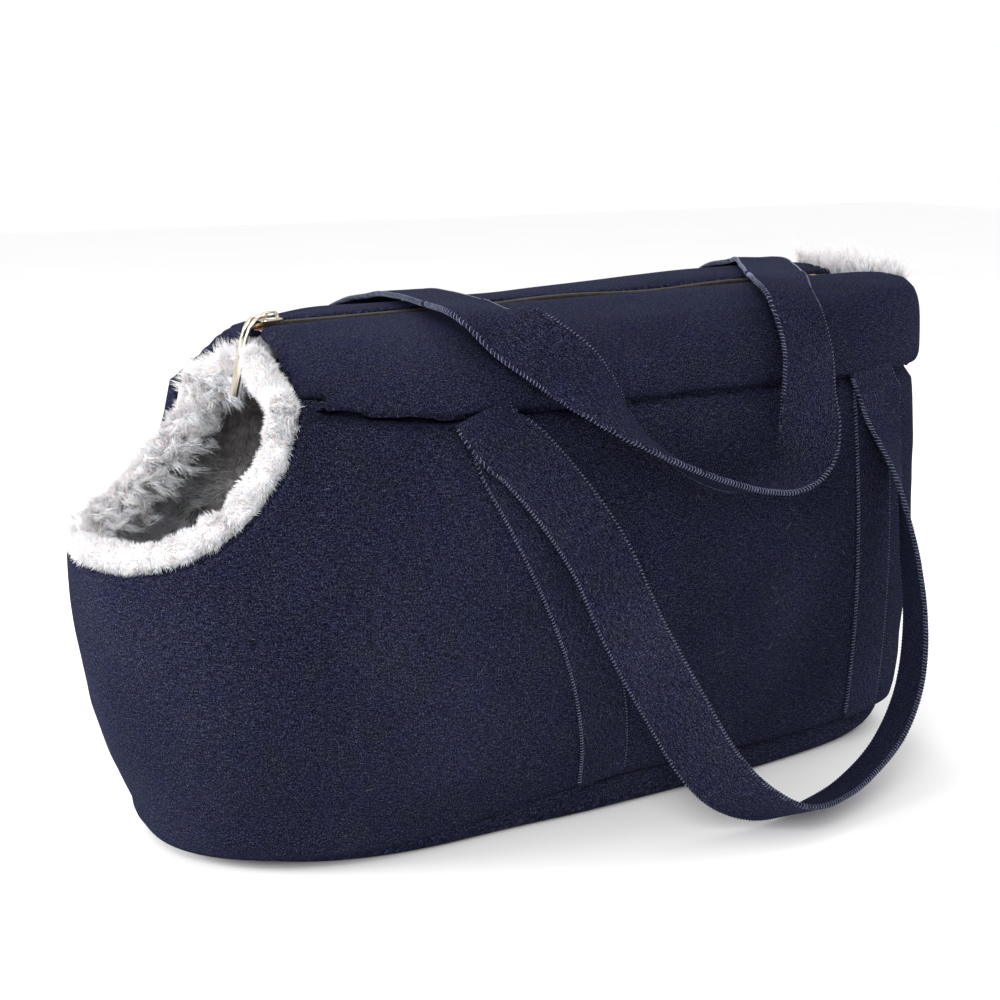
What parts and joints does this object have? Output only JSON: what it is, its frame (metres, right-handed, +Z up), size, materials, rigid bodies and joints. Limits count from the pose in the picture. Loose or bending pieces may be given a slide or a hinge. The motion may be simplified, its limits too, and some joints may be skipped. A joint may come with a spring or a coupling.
{
  "type": "pet carrier bag",
  "caption": "Soft-sided denim pet carrier bag with a fur-trimmed head opening, a zipped padded top, a plush lining and webbing carry handles.",
  "frame": {"origin": "on the flat underside, below the middle of the zip", "axes": "-X towards the head opening, +X towards the tail opening, -Y the side seen in the picture, +Y the other side, +Z up"},
  "size_m": [0.45, 0.2572, 0.2562],
  "materials": {
    "denim": "dark indigo denim twill",
    "strap_denim": "indigo denim webbing with whip-stitched edges",
    "foam": "soft wadding",
    "plush": "grey embossed plush",
    "fur": "white faux fur",
    "board": "stiffener board",
    "zip_tape": "woven tape",
    "zip_coil": "bronze coil",
    "zip_stop": "aged brass",
    "nickel": "pale nickel plate"
  },
  "bodies": {
    "bag": {"body_shell": "denim", "body_padding": "foam", "body_lining": "plush", "base_shell": "denim", "base_board": "board", "base_padding": "foam", "base_mat": "plush", "collar_near": "denim", "collar_padding_near": "foam", "collar_lining_near": "plush", "collar_far": "denim", "collar_padding_far": "foam", "collar_lining_far": "plush", "front_fur_trim": "fur", "rear_fur_trim": "fur", "zip_tape_near": "zip_tape", "zip_coil_near": "zip_coil", "zip_top_stop_near": "zip_stop", "zip_tape_far": "zip_tape", "zip_coil_far": "zip_coil", "zip_top_stop_far": "zip_stop", "zip_bottom_stop": "zip_stop", "zip_end_tab": "zip_tape", "strap_leg_front_near": "strap_denim", "strap_leg_rear_near": "strap_denim", "strap_leg_front_far": "strap_denim", "strap_leg_rear_far": "strap_denim"},
    "slider": {"zip_slider": "nickel"},
    "pull": {"zip_pull_tab": "nickel"},
    "near_handle": {"handle_near": "strap_denim"},
    "far_handle": {"handle_far_front": "strap_denim", "handle_far_rear": "strap_denim"},
    "far_loop": {"handle_far_loop": "strap_denim"}
  },
  "joints": [
    {"name": "zip_slide", "type": "slide", "parent": "bag", "child": "slider", "axis": [0.9998, 0, 0.0185], "range_m": [0, 0.305], "deforming": ["zip_coil_near", "zip_coil_far", "zip_tape_near", "zip_tape_far"]},
    {"name": "pull_swing", "type": "hinge", "parent": "slider", "child": "pull", "pos_m": [-0.1304, 0, 0.24417], "axis": [0, 1, 0], "range_deg": [0, 165]},
    {"name": "near_handle_swing", "type": "hinge", "parent": "bag", "child": "near_handle", "pos_m": [-0.066, -0.09894, 0.203], "axis": [-0.9978, -0.0661, 0], "range_deg": [0, 110]},
    {"name": "far_handle_swing", "type": "hinge", "parent": "bag", "child": "far_handle", "pos_m": [-0.066, 0.09894, 0.203], "axis": [-0.9978, 0.0661, 0], "range_deg": [0, 80]},
    {"name": "far_handle_unbend", "type": "hinge", "parent": "far_handle", "child": "far_loop", "pos_m": [-0.055, -0.046, 0.2507], "axis": [-0.9997, 0, -0.0245], "range_deg": [0, 72]}
  ],
  "couplings": [
    {"joint": "far_handle_unbend", "follows": "far_handle_swing", "ratio": 0.9}
  ]
}
